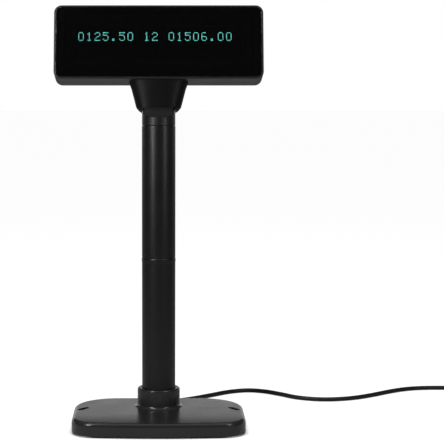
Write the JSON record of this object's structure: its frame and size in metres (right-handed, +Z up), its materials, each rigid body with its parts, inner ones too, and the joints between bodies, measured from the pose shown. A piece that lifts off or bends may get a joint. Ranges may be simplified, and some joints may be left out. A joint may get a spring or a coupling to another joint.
{
  "type": "customer pole display",
  "caption": "Customer pole display: tilting two-line character display head on a swivelling two-piece pole, with a weighted screw-down base and a corded lead.",
  "frame": {"origin": "middle of the base's footprint, on the counter (cord left out)", "axes": "+Z up along the pole, -Y towards the customer who reads the display, +X to that customer's right"},
  "size_m": [0.5168, 0.2507, 0.4389],
  "materials": {
    "base_plastic": "satin black ABS with a fine moulded texture",
    "tube_plastic": "satin black extruded tube",
    "neck_plastic": "satin black ABS",
    "housing_plastic": "satin black ABS with a fine moulded texture",
    "smoked_window": "high-gloss smoked acrylic",
    "tube_glass": "vacuum fluorescent display glass with lit teal characters",
    "circuit_board": "green solder mask on glass-fibre board",
    "connector_plastic": "natural nylon",
    "inner_plastic": "plain black nylon",
    "bush_plastic": "natural acetal",
    "black_foam": "closed-cell black foam and black moulded parts",
    "rubber": "soft black rubber or overmould",
    "sheet_steel": "plain zinc-plated sheet steel",
    "zinc_screw": "bright zinc-plated steel",
    "cord_sheath": "satin black PVC sheath"
  },
  "bodies": {
    "stand": {"base_cover": "base_plastic", "lower_tube": "tube_plastic", "upper_tube": "tube_plastic", "pole_lock_nut": "inner_plastic", "tube_coupler": "inner_plastic", "pole_top_bush": "bush_plastic", "foot_front_left": "rubber", "foot_front_right": "rubber", "foot_rear_left": "rubber", "foot_rear_right": "rubber", "cable_gland": "rubber", "coil_tie": "rubber", "plug_grip": "rubber", "base_plate": "sheet_steel", "swivel_washer": "sheet_steel", "plug_shell": "sheet_steel", "base_screw_front_left": "zinc_screw", "base_screw_front_right": "zinc_screw", "base_screw_rear_left": "zinc_screw", "base_screw_rear_right": "zinc_screw", "pole_cable": "cord_sheath", "cord_lead": "cord_sheath", "cord_coil": "cord_sheath", "cord_tail": "cord_sheath"},
    "swivel": {"swivel_collar": "neck_plastic", "swivel_clip": "sheet_steel", "tilt_pin": "zinc_screw", "tilt_nut": "zinc_screw", "friction_disc_left": "bush_plastic", "friction_disc_right": "bush_plastic"},
    "head": {"neck_shell": "neck_plastic", "front_bezel": "housing_plastic", "rear_cover": "housing_plastic", "filter_window": "smoked_window", "display_tube": "tube_glass", "display_board": "circuit_board", "controller_board": "circuit_board", "cable_socket": "connector_plastic", "board_header": "inner_plastic", "window_gasket": "black_foam", "supply_transformer": "black_foam", "tilt_plate_left": "sheet_steel", "tilt_plate_right": "sheet_steel", "neck_screw_left": "zinc_screw", "neck_screw_right": "zinc_screw", "head_lead": "cord_sheath", "cover_screw_1": "zinc_screw", "cover_screw_2": "zinc_screw", "cover_screw_3": "zinc_screw", "cover_screw_4": "zinc_screw", "board_screw_1": "zinc_screw", "board_screw_2": "zinc_screw", "board_screw_3": "zinc_screw", "board_screw_4": "zinc_screw", "plate_screw_1": "zinc_screw", "plate_screw_2": "zinc_screw", "plate_screw_3": "zinc_screw", "plate_screw_4": "zinc_screw"}
  },
  "joints": [
    {"name": "swivel", "type": "hinge", "parent": "stand", "child": "swivel", "pos_m": [0, 0.0225, 0.3142], "axis": [0, 0, 1], "range_deg": [-165, 165]},
    {"name": "tilt", "type": "hinge", "parent": "swivel", "child": "head", "pos_m": [0, 0.0225, 0.337], "axis": [-1, 0, 0], "range_deg": [-13, 17]}
  ]
}
